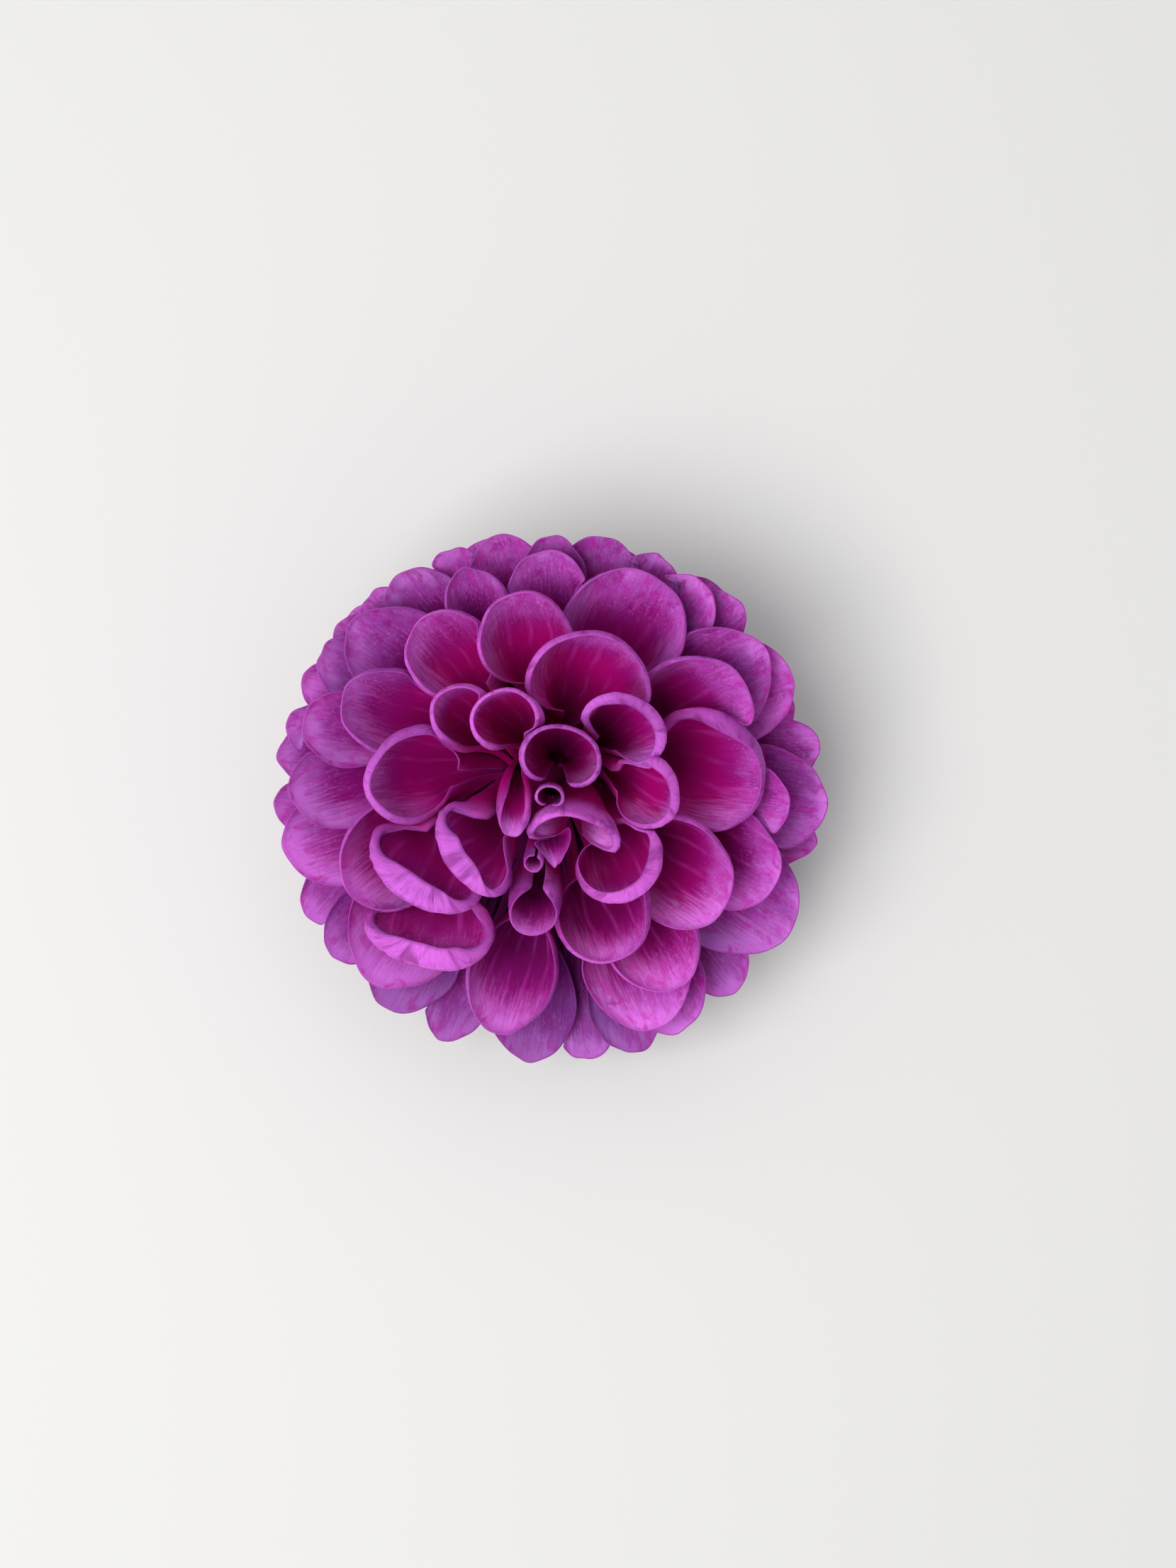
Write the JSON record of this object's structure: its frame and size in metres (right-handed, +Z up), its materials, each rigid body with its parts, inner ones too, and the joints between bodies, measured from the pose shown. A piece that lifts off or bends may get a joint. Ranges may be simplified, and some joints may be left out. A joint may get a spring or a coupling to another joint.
{
  "type": "dahlia flower",
  "caption": "Cut double dahlia flower head, lying face up on its lowest petals and a short stub of stem, with cupped petals all round.",
  "frame": {"origin": "on the ground under the middle of the flower head's bounding box", "axes": "+Z up, the way the face of the bloom looks; -Y the side that the head leans down to"},
  "size_m": [0.1031, 0.0993, 0.0612],
  "materials": {
    "petals": "soft magenta petal with a pale lilac rim and back",
    "green": "fleshy green stem and bracts"
  },
  "bodies": {
    "root": {"bloom": "petals", "stem": "green"}
  },
  "joints": []
}
